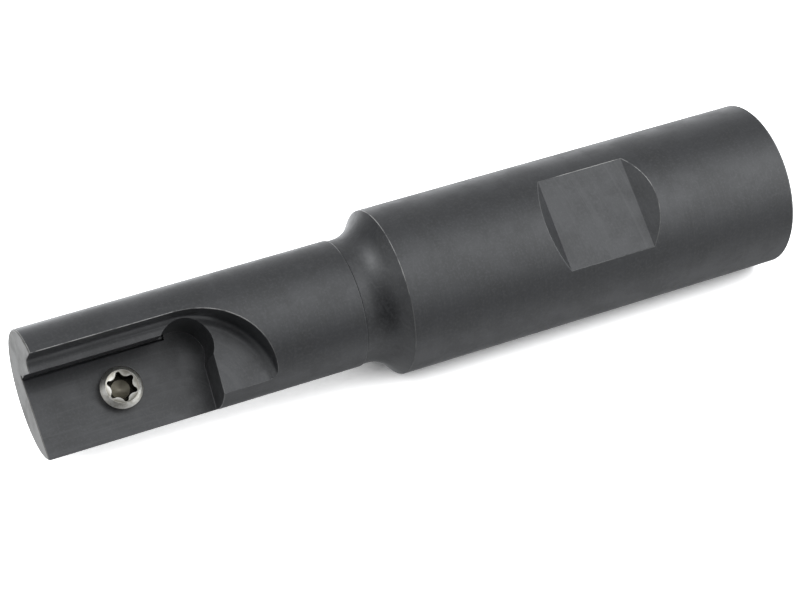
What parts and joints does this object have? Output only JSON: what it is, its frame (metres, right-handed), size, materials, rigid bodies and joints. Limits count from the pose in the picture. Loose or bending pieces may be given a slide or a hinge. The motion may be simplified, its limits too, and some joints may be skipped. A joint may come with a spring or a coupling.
{
  "type": "indexable thread mill",
  "caption": "Round-shank indexable thread mill: side clamping flat, slimmer neck, and a milled insert seat at the tip with a six-lobe clamp screw standing in it.",
  "frame": {"origin": "centre of the shank's end face", "axes": "+Z along the tool's axis from the shank's end to the tip; the clamping flat and the insert seat both face -Y; the seat's back wall is on the +X side and its cutting side is -X"},
  "size_m": [0.02, 0.02, 0.094],
  "materials": {
    "body_steel": "satin, near-black oxidised",
    "screw_steel": "bright, plated"
  },
  "bodies": {
    "body": {"tool_body": "body_steel"},
    "screw": {"clamp_screw": "screw_steel"}
  },
  "joints": [
    {"name": "clamp_screw_travel", "type": "slide", "parent": "body", "child": "screw", "axis": [0, -1, 0], "range_m": [0, 0.0066]}
  ]
}
